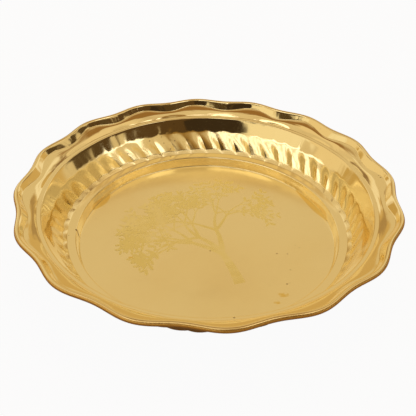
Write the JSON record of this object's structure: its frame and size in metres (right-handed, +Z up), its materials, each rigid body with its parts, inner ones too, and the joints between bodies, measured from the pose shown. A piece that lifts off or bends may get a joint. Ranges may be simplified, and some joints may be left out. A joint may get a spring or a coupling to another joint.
{
  "type": "round tray",
  "caption": "Round serving tray of polished sheet brass with a recessed floor, a wall of leaning flutes and a scalloped rim whose edge is rolled over a wire.",
  "frame": {"origin": "centre of the underside of the floor, where the tray rests", "axes": "+Z up out of the tray's open top, -Y towards the viewer of the picture, +X to the viewer's right"},
  "size_m": [0.3034, 0.3036, 0.0509],
  "materials": {
    "polished_brass": "mirror polished and clear lacquered",
    "wire_brass": "drawn wire, dull"
  },
  "bodies": {
    "root": {"tray_pan": "polished_brass", "edge_wire": "wire_brass"}
  },
  "joints": []
}
